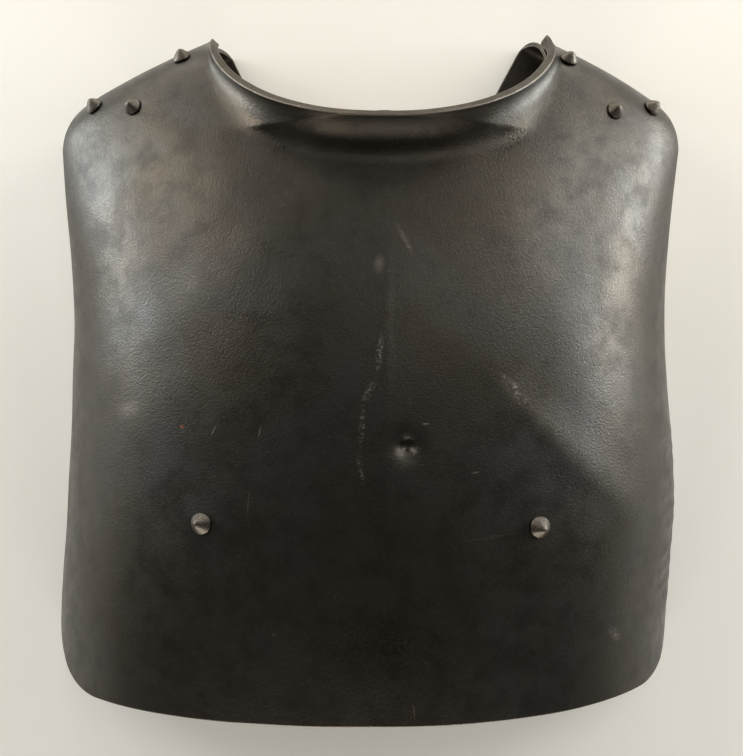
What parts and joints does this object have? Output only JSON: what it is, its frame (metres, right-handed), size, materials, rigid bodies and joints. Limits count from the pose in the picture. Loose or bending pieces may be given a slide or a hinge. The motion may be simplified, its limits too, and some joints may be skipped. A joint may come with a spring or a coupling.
{
  "type": "steel breastplate",
  "caption": "Thick curved chest armour plate with a flared neck collar, riveted shoulder hooks at the back and cone-headed rivets.",
  "frame": {"origin": "centre of the bounding box in X and Y, on the surface that the part lies on", "axes": "the plate lies on its back: +Z out of the chest, +Y towards the neck, +X to the right as seen from the front"},
  "size_m": [0.4276, 0.4376, 0.1307],
  "materials": {
    "plate_steel": "aged blackened steel, fine pitted grain, brown patina, light scratches",
    "hook_steel": "blackened steel strip, dull",
    "rivet_steel": "blackened steel, rubbed brighter on the cone tips"
  },
  "bodies": {
    "root": {"breast_plate": "plate_steel", "shoulder_hook_left": "hook_steel", "shoulder_hook_right": "hook_steel", "rivet_left_neck": "rivet_steel", "rivet_left_outer": "rivet_steel", "rivet_left_inner": "rivet_steel", "rivet_right_neck": "rivet_steel", "rivet_right_outer": "rivet_steel", "rivet_right_inner": "rivet_steel", "rivet_chest_left": "rivet_steel", "rivet_chest_right": "rivet_steel"}
  },
  "joints": []
}
